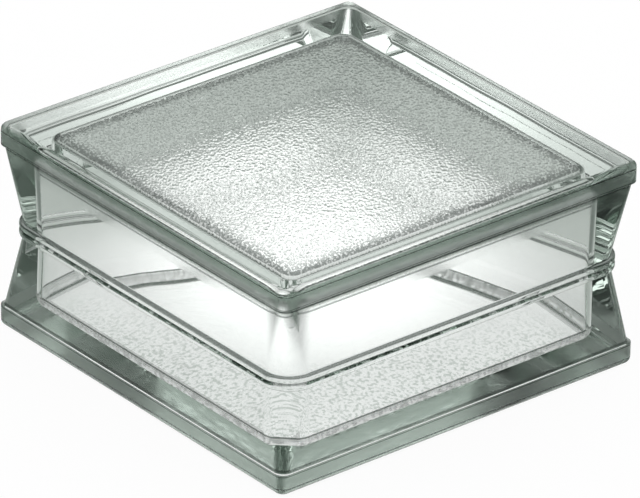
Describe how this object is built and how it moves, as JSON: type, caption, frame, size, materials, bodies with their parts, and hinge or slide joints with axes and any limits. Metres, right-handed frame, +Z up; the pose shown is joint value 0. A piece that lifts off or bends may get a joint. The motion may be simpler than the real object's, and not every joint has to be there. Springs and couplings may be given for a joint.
{
  "type": "hollow glass block",
  "caption": "Square hollow glass block with rimmed faces, tapered mortar grooves on its sides and a fused seam bead at mid-height, for walls and windows that let light through.",
  "frame": {"origin": "centre of the face that the block lies on, on the floor", "axes": "+Z up through the two faces, X and Y along the sides of the square"},
  "size_m": [0.19, 0.19, 0.095],
  "materials": {
    "pressed_glass": "clear pressed glass, stippled inside"
  },
  "bodies": {
    "root": {"glass_block": "pressed_glass"}
  },
  "joints": []
}
